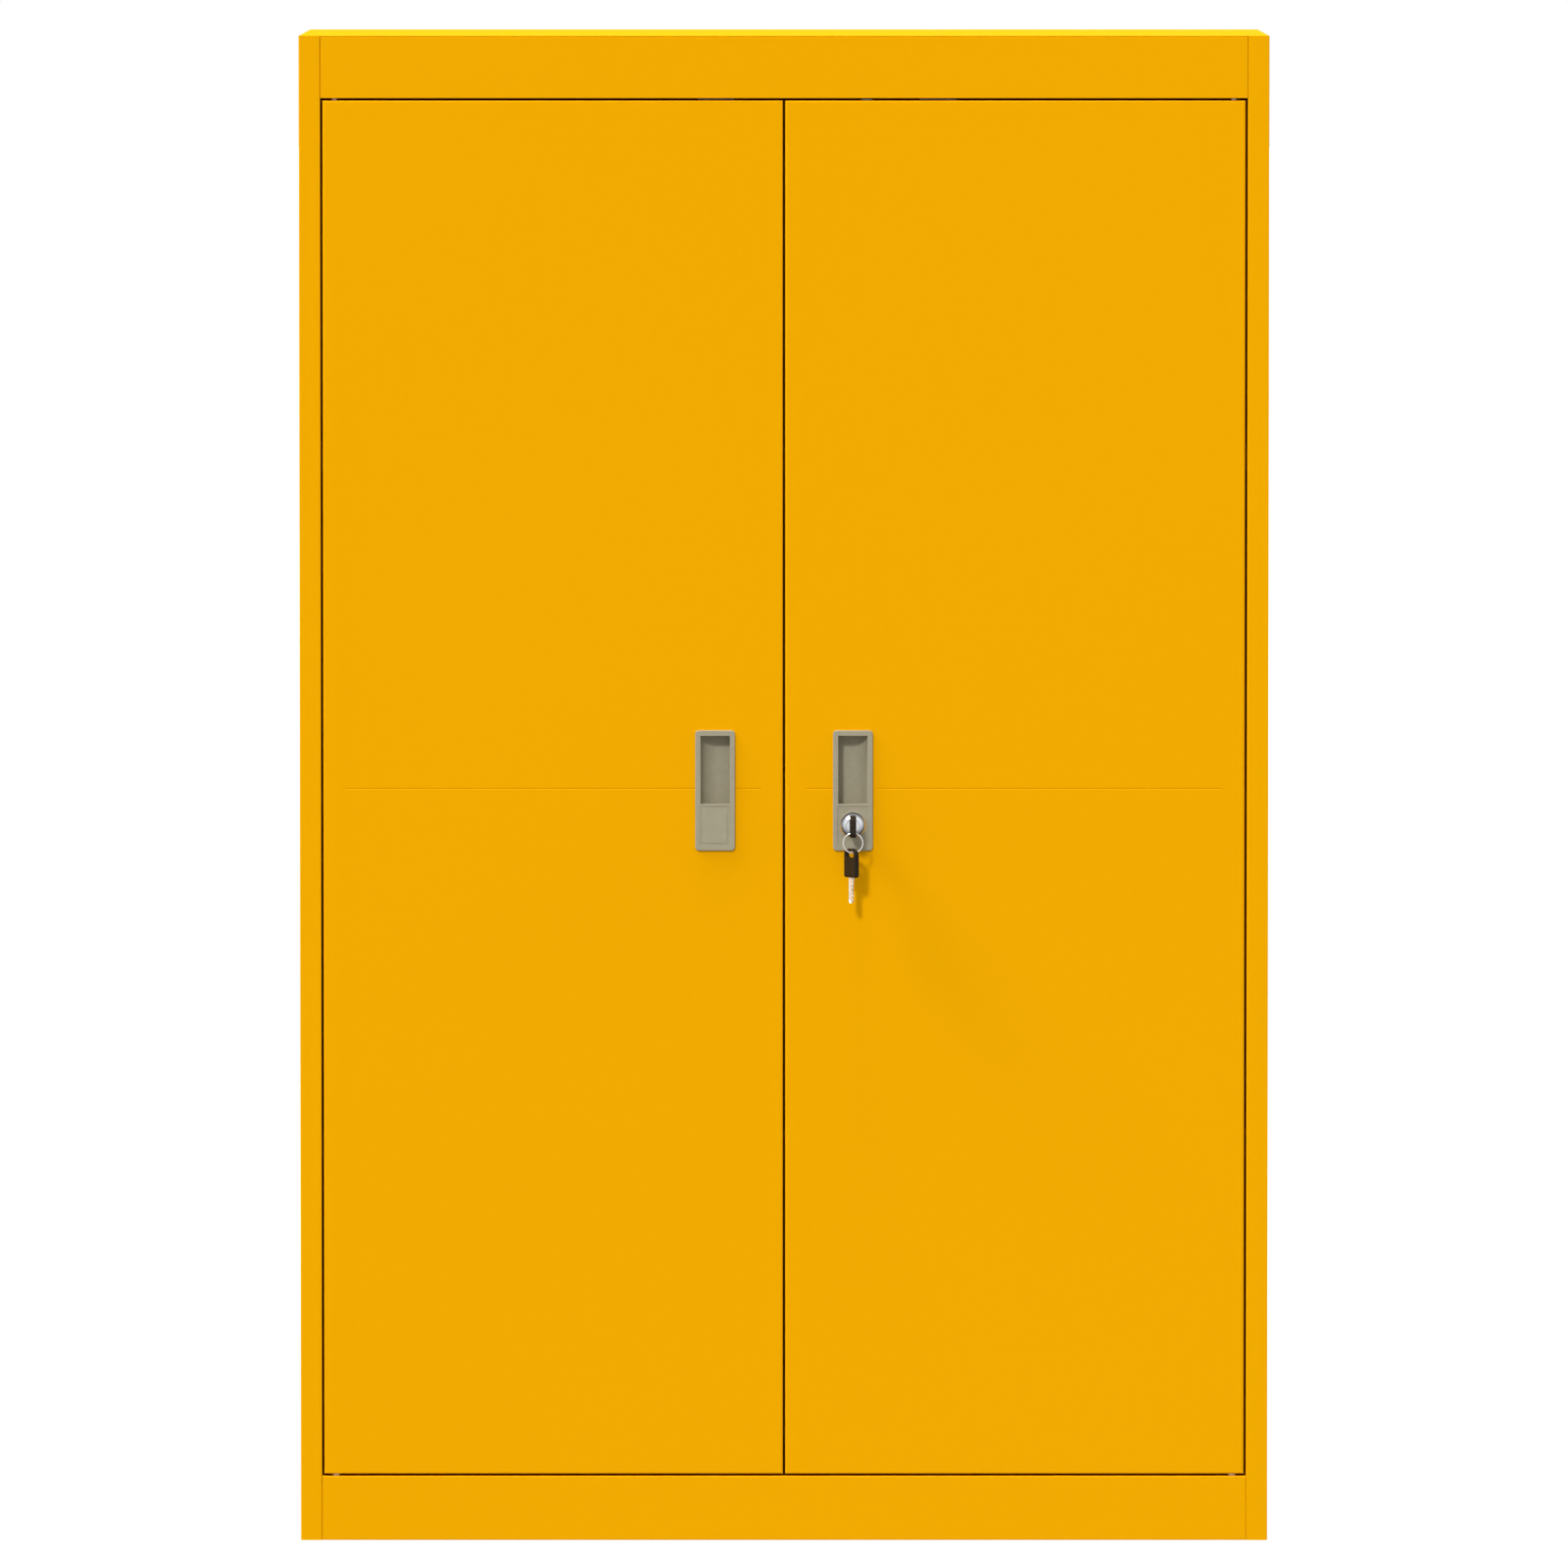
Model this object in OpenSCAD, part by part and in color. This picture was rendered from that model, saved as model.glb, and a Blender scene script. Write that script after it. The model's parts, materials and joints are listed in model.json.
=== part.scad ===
// Two-door steel storage cabinet with recessed handles, a three-point rod lock and adjustable shelves.
// X runs across the width, Y from the front face to the back, Z up. The origin is on the floor at the
// centre of the footprint. The doors are shut and the lock is open.

/* [Cabinet] */
// Overall width
cabinet_w = 900; // [700:10:1200]
// Overall depth, without the key
cabinet_d = 400; // [350:10:600]
// Overall height
cabinet_h = 1400; // [1200:10:2000]
// Thickness of the panel steel
sheet = 0.8; // [0.6:0.1:1.2]
// Width of each front post
post_w = 20; // [18:1:30]
// Height of the header rail above the doors
header_h = 58; // [50:1:80]
// Height of the plinth below the doors
plinth_h = 60; // [50:1:100]

/* [Doors] */
// Gap round each door
door_gap = 2; // [2:0.1:4]
// Thickness of a door
door_t = 20; // [18:1:25]
// Distance from a door's hinge edge to its pivot
pivot_in = 11; // [10:0.1:16]
// Distance from the front face back to the pivots
pivot_back = 7.5; // [7.5:0.1:9]

/* [Handles and lock] */
// Width of a handle
handle_w = 37; // [34:1:44]
// Height of a handle
handle_h = 112; // [100:1:130]
// Distance from the cabinet's middle to a handle's middle
handle_x = 64; // [56:1:90]
// Height of a handle's middle above the floor
handle_z = 699.4; // [650:0.1:760]
// How far a handle stands out of its door
handle_proud = 2.6; // [2:0.1:4]
// Height of the lock above the floor
lock_z = 667; // [620:1:690]

/* [Shelves] */
// Height of the lower shelf
lower_shelf_z = 380; // [340:10:400]
// Height of the middle shelf
middle_shelf_z = 700; // [680:10:720]
// Height of the upper shelf
upper_shelf_z = 1020; // [980:10:1060]

/* [Hidden] */

// Colours
body_colour = "#f0a901";
handle_colour = "#9e9882";
steel_colour = "#b9bcc0";
chrome_colour = "#dfe3e6";
nylon_colour = "#efece2";
black_colour = "#1d1c1b";

// Shell
half_w = cabinet_w / 2;
front_y = -cabinet_d / 2;
back_y = cabinet_d / 2;
post_x = half_w - post_w;
post_d = 25;
post_lip = 10;
rear_return = 20;
seam = 0.2;
fold_r = 0.7;
top_z = cabinet_h - sheet;
floor_z = plinth_h - sheet;
soffit_z = cabinet_h - header_h;
soffit_d = 40;
soffit_lip = 18;
header_top_lip = 15;
rail_x = post_x - seam;
back_panel_y = back_y - 2 * sheet;
top_flange_h = 15;
foot_flange = 25;
rib_w = 20;
rib_d = 3;
rib_x = 225;
rib_end = 90;
screw_y = [-120, 0, 150];
panel_screw_r = 2.9;
panel_screw_head_r = 5;
panel_screw_head_h = 2.4;
wall_hole_r = 4;
wall_hole_x = 300;
wall_hole_z = cabinet_h - 50;

// Shelves and their standards
standard_w = 20;
standard_d = 3;
standard_sheet = 1;
standard_low = plinth_h + 10;
standard_high = soffit_z - 12;
standard_y = [-140, 160];
slot_w = 8;
slot_h = 3;
slot_pitch = 40;
shelf_front = front_y + 40;
shelf_back = back_y - 10;
shelf_half_w = half_w - 5.5;
shelf_edge = 25;
shelf_lip = 12;
clip_w = 14;
clip_t = 1;
clip_reach = 12;
clip_drop = 18;
clip_ledge = 1.5;

// Doors
door_w = post_x - 1.5 * door_gap;
door_x = door_gap / 2;
door_low = plinth_h + door_gap;
door_high = soffit_z - door_gap;
door_h = door_high - door_low;
door_lip = 15;
bend_r = 2;
crease_h = 1.8;
crease_deep = 0.5;
crease_in = 20;
pivot_x = door_x + door_w - pivot_in;
pivot_y = front_y + pivot_back;
pivot_r = 2.5;
pivot_fit = 0.05;
pivot_hole_r = 3.2;
shoulder_r = 3.5;
hinge_plate_t = 3;
plate_w = 26;
plate_d = 18;
bracket_w = 32;
bracket_t = 3;
channel_w = 50;
channel_foot = 12;
channel_rest = 0.4;
left_channel_x = 214;

// Catches and strikes
catch_size = [34, 14, 14];
catch_gap = 0.3;
left_catch_x = -63;
right_catch_x = 143;
strike_size = [38, 1, 13];
catch_screw_r = 1.6;
catch_screw_head_r = 3;
catch_screw_head_h = 1.8;
catch_screw_pitch = 20;

// Handles
handle_r = 3.5;
handle_body_w = 33;
handle_body_h = 108;
handle_body_d = 15.4;
handle_wall = 1.8;
handle_fit = 0.2;
recess_w = 27.3;
recess_h = 63.3;
recess_z = 718.7;
recess_d = 15.5;
lower_plate_t = 4;
lower_panel = [28.8, 37];
lower_panel_z = 666.6;
lower_panel_deep = 0.5;
blank_pad = [22.4, 32.4];
blank_deep = 0.35;
boss_r = 13.4;

// Lock, measured back from the cabinet's front face
dome_r = 12;
dome_h = 4.5;
barrel_r = 9;
barrel_back = 17;
nut_flats = 24;
nut_t = 4;
plug_r = 6;
plug_fit = 0.05;
plug_front = -handle_proud - dome_h + 0.8;
plug_back = 17.4;
tang = 7;
cam_front = 19;
cam_t = 2.4;
cam_r = 15.5;
crank_r = 12;
crank_angle = -45;
drive_pin_r = 2;
cam_screw_r = 2;
cam_screw_len = 3.4;
cam_screw_head_r = 4;
cam_screw_head_h = 2.2;
rod_front = 22.6;
rod_t = 3;
rod_w = 10;
rod_off = 13;
rod_tip = 1.2;
eye = [13.6, 14];
eye_slot = [8.4, 5.4];
guide = [18, 8, 12];
guide_z = [120, 590, 790, 1280];
keeper = [32, 16, 2];

// Keys and ring
bow_w = 20;
bow_t = 6;
key_gap = 1.8;
bow_len = 24;
bow_slot_r = 3.5;
bow_slot_len = 15;
bow_bridge = 2.5;
blade_w = 6.5;
blade_t = 2;
blade_len = 24;
keyway_fit = 0.15;
ring_r = 9.1;
wire_r = 0.65;
ring_y = front_y - 25;
ring_z = lock_z - 15.2;
spare_bow_size = [18, 4.8, 27];
spare_slot_r = 3;
spare_slot_len = 13;
spare_off = -2.4;
spare_yaw = -55;
spare_hole_top = ring_z - ring_r + 1.7;

// Shared shapes

// A box given by its low and high corners
module block(low, high) {
    translate(low) cube(high - low);
}

// A flat plate with rounded corners, lying in XZ with its front at y = 0 and its thickness along +Y
module rounded_plate(w, h, t, r) {
    translate([0, t, 0]) rotate([90, 0, 0]) linear_extrude(t) rounded_outline(w, h, r);
}

// A rounded rectangle about the origin
module rounded_outline(w, h, r) {
    square([w - 2 * r, h], center = true);
    square([w, h - 2 * r], center = true);
    for (x = [-1, 1], y = [-1, 1]) {
        translate([x * (w / 2 - r), y * (h / 2 - r)]) circle(r, $fn = 32);
    }
}

// A round bar along Y from one depth to another
module bar_y(r, from, to) {
    translate([0, to, 0]) rotate([90, 0, 0]) cylinder(r = r, h = to - from, $fn = 64);
}

// A mirrored copy for the left or the right side: side is -1 or 1
module on_side(side) {
    scale_x = side < 0 ? 1 : 0;
    mirror([scale_x, 0, 0]) children();
}

// Section of a folded sheet that follows a run of square bends along its middle line
module folded_strip(points) {
    last = len(points) - 1;
    outer_r = fold_r + sheet / 2;
    for (i = [0 : last - 1]) {
        way = (points[i + 1] - points[i]) / norm(points[i + 1] - points[i]);
        start = points[i] + (i > 0 ? fold_r : 0) * way;
        end = points[i + 1] - (i < last - 1 ? fold_r : 0) * way;
        half = sheet / 2 * [abs(way[1]), abs(way[0])];
        low = [min(start[0], end[0]), min(start[1], end[1])] - half;
        high = [max(start[0], end[0]), max(start[1], end[1])] + half;
        translate(low) square(high - low);
    }
    for (i = [1 : last - 1]) {
        back_way = (points[i - 1] - points[i]) / norm(points[i - 1] - points[i]);
        next_way = (points[i + 1] - points[i]) / norm(points[i + 1] - points[i]);
        centre = points[i] + fold_r * (back_way + next_way);
        corner = centre - outer_r * (back_way + next_way);
        difference() {
            intersection() {
                translate(centre) circle(outer_r, $fn = 32);
                translate([min(centre[0], corner[0]), min(centre[1], corner[1])]) square(outer_r);
            }
            translate(centre) circle(fold_r - sheet / 2, $fn = 32);
        }
    }
}

// Shell

// Side panel with its folded front post and its rear return, for the right side
module side_panel() {
    mid = sheet / 2;
    color(body_colour) linear_extrude(top_z) folded_strip([
        [post_x + post_lip, front_y + post_d - mid], [post_x + mid, front_y + post_d - mid],
        [post_x + mid, front_y + mid], [half_w - mid, front_y + mid],
        [half_w - mid, back_y - mid], [half_w - rear_return, back_y - mid]
    ]);
}

// Back panel, with two pressed ribs and the two wall-fixing holes
module back_panel() {
    x = half_w - sheet - fold_r;
    color(body_colour) difference() {
        union() {
            block([-x, back_panel_y, 0], [x, back_panel_y + sheet, top_z]);
            for (side = [-1, 1]) {
                translate([side * rib_x, 0, 0])
                    block([-rib_w / 2, back_panel_y - rib_d, rib_end],
                          [rib_w / 2, back_panel_y, top_z - rib_end]);
            }
        }
        for (side = [-1, 1]) {
            translate([side * rib_x, 0, 0])
                block([-rib_w / 2 + sheet, back_panel_y - rib_d + sheet, rib_end + sheet],
                      [rib_w / 2 - sheet, back_y, top_z - rib_end - sheet]);
            translate([side * wall_hole_x, 0, wall_hole_z]) bar_y(wall_hole_r, back_panel_y - 5, back_y);
        }
    }
}

// Top panel, laid over the whole shell, with a flange down the inside of each side panel
module top_panel() {
    x = half_w - sheet;
    color(body_colour) difference() {
        union() {
            block([-half_w, front_y, top_z], [half_w, back_y, cabinet_h]);
            for (side = [-1, 1]) {
                on_side(side)
                    block([x - sheet, front_y + 30, top_z - top_flange_h], [x, back_y - 5, top_z]);
            }
        }
        for (side = [-1, 1]) {
            on_side(side) top_screw_places() panel_screw_hole();
        }
    }
}

// Header rail: the face between the posts, the soffit over the doors and a stiffening lip behind
module header_rail() {
    mid = sheet / 2;
    color(body_colour) difference() {
        translate([-rail_x, 0, 0]) rotate([90, 0, 90]) linear_extrude(2 * rail_x) folded_strip([
            [front_y + soffit_d - mid, soffit_z + soffit_lip], [front_y + soffit_d - mid, soffit_z + mid],
            [front_y + mid, soffit_z + mid], [front_y + mid, top_z - mid],
            [front_y + header_top_lip, top_z - mid]
        ]);
        for (side = [-1, 1]) {
            translate([side * pivot_x, pivot_y, soffit_z - 1]) cylinder(r = pivot_hole_r, h = 3, $fn = 48);
        }
        rod_slot(1, soffit_z - 1, soffit_z + 3);
        catch_screw_holes(soffit_z - 1, 3);
    }
}

// Base frame behind the plinth's face: walls all round, with a foot flange
module base_frame() {
    low = [-half_w + sheet, shelf_front, 0];
    high = [half_w - sheet, back_panel_y, floor_z];
    color(body_colour) difference() {
        block(low, high);
        block(low + [sheet, sheet, sheet], high + [-sheet, -sheet, 1]);
        block(low + [foot_flange, foot_flange, -1], high + [-foot_flange, -foot_flange, 1]);
        for (side = [-1, 1]) {
            on_side(side) base_screw_places() panel_screw_hole();
        }
    }
}

// Floor of the cabinet, folded down in front as the plinth's face and back under it
module floor_panel() {
    mid = sheet / 2;
    color(body_colour) difference() {
        union() {
            translate([-rail_x, 0, 0]) rotate([90, 0, 90]) linear_extrude(2 * rail_x) folded_strip([
                [back_panel_y, plinth_h - mid], [front_y + mid, plinth_h - mid],
                [front_y + mid, mid], [front_y + post_d, mid]
            ]);
            block([-half_w + sheet, front_y + post_d + 0.1, floor_z],
                  [half_w - sheet, back_panel_y, plinth_h]);
        }
        for (side = [-1, 1]) {
            translate([side * pivot_x, pivot_y, floor_z - 1]) cylinder(r = pivot_hole_r, h = 3, $fn = 48);
        }
        rod_slot(-1, floor_z - 1, floor_z + 3);
        catch_screw_holes(floor_z - 1, 3);
    }
}

// Places of the screws that hold the top and the base frame to the right side panel
module top_screw_places() {
    for (y = screw_y) {
        translate([half_w - sheet, y, top_z - top_flange_h / 2]) children();
    }
}
module base_screw_places() {
    for (y = screw_y) {
        translate([half_w - sheet, y, floor_z / 2]) children();
    }
}

// Hole along X for a panel screw
module panel_screw_hole() {
    rotate([0, 90, 0]) cylinder(r = panel_screw_r + 0.1, h = 20, center = true, $fn = 32);
}

// Pan-head screw through a flange against the right side panel, its head inside the cabinet
module panel_screw() {
    head_x = -sheet - panel_screw_head_h;
    recess = [panel_screw_head_h, panel_screw_head_r, 1.1];
    color(steel_colour) {
        translate([-sheet, 0, 0]) rotate([0, 90, 0]) cylinder(r = panel_screw_r, h = sheet, $fn = 32);
        difference() {
            translate([head_x, 0, 0]) rotate([0, 90, 0])
                cylinder(r = panel_screw_head_r, h = panel_screw_head_h, $fn = 48);
            for (turn = [0, 90]) {
                translate([head_x, 0, 0]) rotate([turn, 0, 0]) cube(recess, center = true);
            }
        }
    }
}
module top_screws() {
    for (side = [-1, 1]) {
        on_side(side) top_screw_places() panel_screw();
    }
}
module base_screws() {
    for (side = [-1, 1]) {
        on_side(side) base_screw_places() panel_screw();
    }
}

// Shelves

// Slotted shelf standard for the right side, at a given depth
module shelf_standard(y) {
    outer_x = half_w - sheet;
    face_x = outer_x - standard_d;
    color(steel_colour) difference() {
        block([face_x, y - standard_w / 2, standard_low], [outer_x, y + standard_w / 2, standard_high]);
        block([face_x + standard_sheet, y - standard_w / 2 + standard_sheet, standard_low - 1],
              [outer_x + 1, y + standard_w / 2 - standard_sheet, standard_high + 1]);
        for (z = [standard_low + slot_pitch / 2 : slot_pitch : standard_high - slot_pitch / 4]) {
            translate([face_x, y, z]) cube([4, slot_w, slot_h], center = true);
        }
    }
}

// The highest slot that a clip under a shelf can hook into
function slot_under(z) =
    standard_low + slot_pitch / 2 + slot_pitch * floor((z - standard_low - slot_pitch / 2) / slot_pitch);

// Four clips that carry one shelf by its bottom lips
module shelf_clips(shelf_z) {
    rest_z = shelf_z - shelf_edge;
    face_x = half_w - sheet - standard_d;
    hook_z = slot_under(rest_z - 3);
    for (side = [-1, 1], y = standard_y) {
        color(steel_colour) on_side(side) union() {
            block([face_x - clip_t, y - clip_w / 2, hook_z - clip_drop], [face_x, y + clip_w / 2, rest_z]);
            block([face_x - clip_reach, y - clip_w / 2, rest_z - clip_ledge],
                  [face_x, y + clip_w / 2, rest_z]);
            block([face_x - 0.1, y - 3, hook_z - 1], [face_x + 1.8, y + 3, hook_z + 1]);
        }
    }
}

// A shelf: folded edges all round, with lips turned in underneath
module shelf(shelf_z) {
    low_z = shelf_z - shelf_edge;
    color(body_colour) difference() {
        block([-shelf_half_w, shelf_front, low_z], [shelf_half_w, shelf_back, shelf_z]);
        block([-shelf_half_w + sheet, shelf_front + sheet, low_z + sheet],
              [shelf_half_w - sheet, shelf_back - sheet, shelf_z - sheet]);
        block([-shelf_half_w + shelf_lip, shelf_front + shelf_lip, low_z - 1],
              [shelf_half_w - shelf_lip, shelf_back - shelf_lip, low_z + 5]);
    }
}

// Hinges

// Steel plate with the pivot's bore, for the right side, from one height up
module hinge_plate(low_z) {
    color(steel_colour) difference() {
        block([rail_x - plate_w - 1, front_y + 2, low_z],
              [rail_x - 1, front_y + 2 + plate_d, low_z + hinge_plate_t]);
        translate([pivot_x, pivot_y, low_z - 1])
            cylinder(r = pivot_r + pivot_fit, h = hinge_plate_t + 2, $fn = 64);
    }
}

// Nylon pivot between the door and the header, for the right side
module upper_pivot() {
    low_z = door_high - sheet - bracket_t - 3;
    color(nylon_colour) translate([pivot_x, pivot_y, low_z])
        cylinder(r = pivot_r, h = soffit_z + sheet + hinge_plate_t + 2 - low_z, $fn = 64);
}

// Nylon pivot under the door, with the shoulder that carries the door, for the right side
module lower_pivot() {
    low_z = floor_z - hinge_plate_t - 2;
    shoulder_z = plinth_h + 0.15;
    color(nylon_colour) translate([pivot_x, pivot_y, 0]) {
        translate([0, 0, low_z])
            cylinder(r = pivot_r, h = door_low + sheet + bracket_t + 3 - low_z, $fn = 64);
        translate([0, 0, shoulder_z]) cylinder(r = shoulder_r, h = door_low - shoulder_z, $fn = 64);
    }
}

// Two plates inside the right door's top and bottom that hold its pivots
module door_brackets() {
    high_x = door_x + door_w - sheet - 1.2;
    for (low_z = [door_low + sheet, door_high - sheet - bracket_t]) {
        color(steel_colour) difference() {
            block([high_x - bracket_w, front_y + sheet + 1, low_z],
                  [high_x, front_y + door_t - sheet - 0.2, low_z + bracket_t]);
            translate([pivot_x, pivot_y, low_z - 1])
                cylinder(r = pivot_r + 0.02, h = bracket_t + 2, $fn = 64);
        }
    }
}

// Doors

// Section of a door with rounded front edges: its low and high ends, moved in by a margin, and its depth
module door_section(low, high, inset, depth) {
    r = bend_r - inset;
    translate([low + inset, front_y + inset + r]) square([high - low - 2 * inset, depth - inset - r]);
    translate([low + bend_r, front_y + inset]) square([high - low - 2 * bend_r, depth - inset]);
    for (end = [low + bend_r, high - bend_r]) {
        translate([end, front_y + bend_r]) circle(r, $fn = 32);
    }
}

// Solid with the right door's outline, rounded along all four front edges, moved in by a margin
module door_block(inset, depth) {
    intersection() {
        translate([0, 0, door_low + inset]) linear_extrude(door_h - 2 * inset)
            door_section(door_x, door_x + door_w, inset, depth);
        translate([door_x + inset, 0, 0]) rotate([0, 90, 0]) linear_extrude(door_w - 2 * inset)
            mirror([1, 0]) door_section(door_low, door_high, inset, depth);
    }
}

// Shallow crease across the right door's face, halfway up
module door_crease() {
    flank = crease_h / 2;
    translate([door_x + crease_in, front_y, (door_low + door_high) / 2]) rotate([90, 0, 90])
        linear_extrude(door_w - 2 * crease_in)
            polygon([[-1, -flank], [0, -flank], [crease_deep, 0], [0, flank], [-1, flank]]);
}

// Right door's folded pan: face, returns and rear lips, with the handle's opening and the pivot holes
module door_panel() {
    color(body_colour) difference() {
        door_block(0, door_t);
        door_block(sheet, door_t - sheet);
        block([door_x + door_lip, front_y + door_t / 2, door_low + door_lip],
              [door_x + door_w - door_lip, front_y + door_t + 1, door_high - door_lip]);
        translate([handle_x, front_y - 1, handle_z])
            rounded_plate(handle_body_w + 2 * handle_fit, handle_body_h + 2 * handle_fit, 3, 2);
        translate([pivot_x, pivot_y, door_low - 1]) cylinder(r = pivot_r + 0.1, h = door_h + 2, $fn = 48);
        door_crease();
    }
}

// Upright reinforcing channel behind the right door's face, about one x and between two heights
module door_channel(x, low_z, high_z) {
    low_y = front_y + sheet;
    crown_y = front_y + door_t - channel_rest;
    translate([x, 0, 0]) color(body_colour) difference() {
        union() {
            block([-channel_w / 2 - channel_foot, low_y, low_z],
                  [channel_w / 2 + channel_foot, low_y + sheet, high_z]);
            block([-channel_w / 2, low_y, low_z], [channel_w / 2, crown_y, high_z]);
        }
        block([-channel_w / 2 + sheet, low_y - 1, low_z - 1],
              [channel_w / 2 - sheet, crown_y - sheet, high_z + 1]);
    }
}
module left_door_channel() {
    mirror([1, 0, 0]) door_channel(left_channel_x, door_low + 20, door_high - 20);
}
module right_door_channels() {
    margin = 6;
    door_channel(handle_x, door_low + 20, handle_z - handle_h / 2 - margin);
    door_channel(handle_x, handle_z + handle_h / 2 + margin, door_high - 20);
}

// Handles

// Outside and hollows of the right handle, which the left handle mirrors
module handle_shell() {
    face_y = front_y - handle_proud;
    body_back = front_y + handle_body_d;
    hollow_top = recess_z - recess_h / 2 - 4;
    hollow_low = handle_z - handle_body_h / 2 + handle_wall;
    hollow_w = handle_body_w / 2 - handle_wall;
    difference() {
        union() {
            translate([handle_x, face_y, handle_z])
                rounded_plate(handle_w, handle_h, handle_proud, handle_r);
            translate([handle_x, front_y - 1, handle_z])
                rounded_plate(handle_body_w, handle_body_h, handle_body_d + 1, 2);
        }
        translate([handle_x, face_y, recess_z - recess_h / 2]) linear_extrude(recess_h) recess_section();
        block([handle_x - hollow_w, face_y + lower_plate_t, hollow_low],
              [handle_x + hollow_w, body_back + 1, hollow_top]);
        translate([handle_x, face_y - 1, lower_panel_z])
            rounded_plate(lower_panel[0], lower_panel[1], 1 + lower_panel_deep, 1.5);
    }
}

// Finger recess seen from above: steep on the side of the door's free edge, curved on the other
module recess_section() {
    curve_x = recess_w / 2 - recess_d;
    translate([-recess_w / 2, -1]) square([curve_x + recess_w / 2, recess_d + 1]);
    intersection() {
        translate([curve_x, 0]) circle(recess_d, $fn = 64);
        translate([curve_x, -1]) square([recess_d, recess_d + 1]);
    }
}

// Left handle, with its blank panel
module left_handle() {
    color(handle_colour) mirror([1, 0, 0]) union() {
        handle_shell();
        translate([handle_x, front_y - handle_proud + lower_panel_deep - blank_deep, lower_panel_z])
            rounded_plate(blank_pad[0], blank_pad[1], 1, 3);
    }
}

// Right handle, with the lock's hole in a raised round boss
module right_handle() {
    color(handle_colour) difference() {
        union() {
            handle_shell();
            translate([handle_x, front_y - handle_proud, lock_z])
                bar_y(boss_r, lower_panel_deep - blank_deep, 1);
        }
        translate([handle_x, front_y, lock_z]) bar_y(barrel_r + 0.1, -10, 10);
    }
}

// Catches

// Places of the catch screws seen from above
module catch_screw_places() {
    for (x = [left_catch_x, right_catch_x], offset = [-0.5, 0.5]) {
        translate([x + offset * catch_screw_pitch, catch_front() + catch_size[1] / 2, 0]) children();
    }
}
function catch_front() = front_y + door_t + strike_size[1] + catch_gap;

// Holes for the catch screws, from one height up
module catch_screw_holes(low_z, h) {
    catch_screw_places() translate([0, 0, low_z]) cylinder(r = catch_screw_r + 0.1, h = h, $fn = 32);
}

// A pair of magnetic catches with their lower faces at one height
module catches(low_z) {
    for (x = [left_catch_x, right_catch_x]) {
        color(nylon_colour) difference() {
            block([x - catch_size[0] / 2, catch_front(), low_z],
                  [x + catch_size[0] / 2, catch_front() + catch_size[1], low_z + catch_size[2]]);
            catch_screw_holes(low_z - 1, catch_size[2] + 2);
        }
    }
}

// Screws through the catches into the header's soffit and the floor panel
module catch_screws() {
    shank = catch_size[2] + sheet + 2;
    head_h = catch_screw_head_h;
    catch_screw_places() {
        color(steel_colour) translate([0, 0, soffit_z - catch_size[2]]) {
            cylinder(r = catch_screw_r, h = shank, $fn = 32);
            translate([0, 0, -head_h]) cylinder(r = catch_screw_head_r, h = head_h, $fn = 32);
        }
        color(steel_colour) translate([0, 0, plinth_h + catch_size[2] - shank]) {
            cylinder(r = catch_screw_r, h = shank, $fn = 32);
            translate([0, 0, shank]) cylinder(r = catch_screw_head_r, h = head_h, $fn = 32);
        }
    }
}

// Strike plates on a door's rear lips, facing the catches at one x
module strikes(x) {
    low_y = front_y + door_t;
    for (z = [door_low + door_lip / 2, door_high - door_lip / 2]) {
        color(steel_colour) block([x - strike_size[0] / 2, low_y, z - strike_size[2] / 2],
                                  [x + strike_size[0] / 2, low_y + strike_size[1], z + strike_size[2] / 2]);
    }
}

// Lock

// Places a shape, drawn about the origin with its depth along +Y, at the lock
module at_lock() {
    translate([handle_x, front_y, lock_z]) children();
}

// Chrome dome and barrel, with the plug's bore
module lock_housing() {
    sphere_r = (dome_r * dome_r + dome_h * dome_h) / (2 * dome_h);
    base_y = -handle_proud + lower_panel_deep - blank_deep;
    color(chrome_colour) at_lock() difference() {
        union() {
            intersection() {
                translate([0, base_y - dome_h + sphere_r, 0]) sphere(sphere_r, $fn = 96);
                bar_y(dome_r, base_y - dome_h - 1, base_y);
            }
            bar_y(barrel_r, base_y - 0.5, barrel_back);
        }
        bar_y(plug_r + plug_fit, -20, 30);
    }
}

// Hexagon nut behind the handle's front plate
module lock_nut() {
    front = -handle_proud + lower_plate_t;
    color(steel_colour) at_lock() difference() {
        translate([0, front + nut_t, 0]) rotate([90, 0, 0])
            cylinder(d = nut_flats / cos(30), h = nut_t, $fn = 6);
        bar_y(barrel_r + 0.05, -10, 20);
    }
}

// Plug with its keyway and the square tang that turns the cam
module lock_plug() {
    color(steel_colour) at_lock() difference() {
        union() {
            bar_y(plug_r, plug_front, plug_back);
            block([-tang / 2, plug_back - 1, -tang / 2], [tang / 2, cam_front + cam_t, tang / 2]);
        }
        block([-blade_t / 2 - keyway_fit, plug_front - 1, -blade_w / 2 - keyway_fit],
              [blade_t / 2 + keyway_fit, plug_front - key_gap + blade_len + 0.5, blade_w / 2 + keyway_fit]);
        bar_y(cam_screw_r + 0.05, cam_front + cam_t - cam_screw_len - 0.2, cam_front + cam_t + 1);
    }
}

// Cam disc with its two drive pins
module lock_cam() {
    color(steel_colour) at_lock() difference() {
        union() {
            bar_y(cam_r, cam_front, cam_front + cam_t);
            for (angle = [crank_angle, crank_angle + 180]) {
                rotate([0, -angle, 0]) translate([crank_r, 0, 0])
                    bar_y(drive_pin_r, cam_front + cam_t - 1, rod_front + rod_t + 1.5);
            }
        }
        block([-tang / 2 - 0.05, 0, -tang / 2 - 0.05], [tang / 2 + 0.05, 30, tang / 2 + 0.05]);
    }
}

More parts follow.
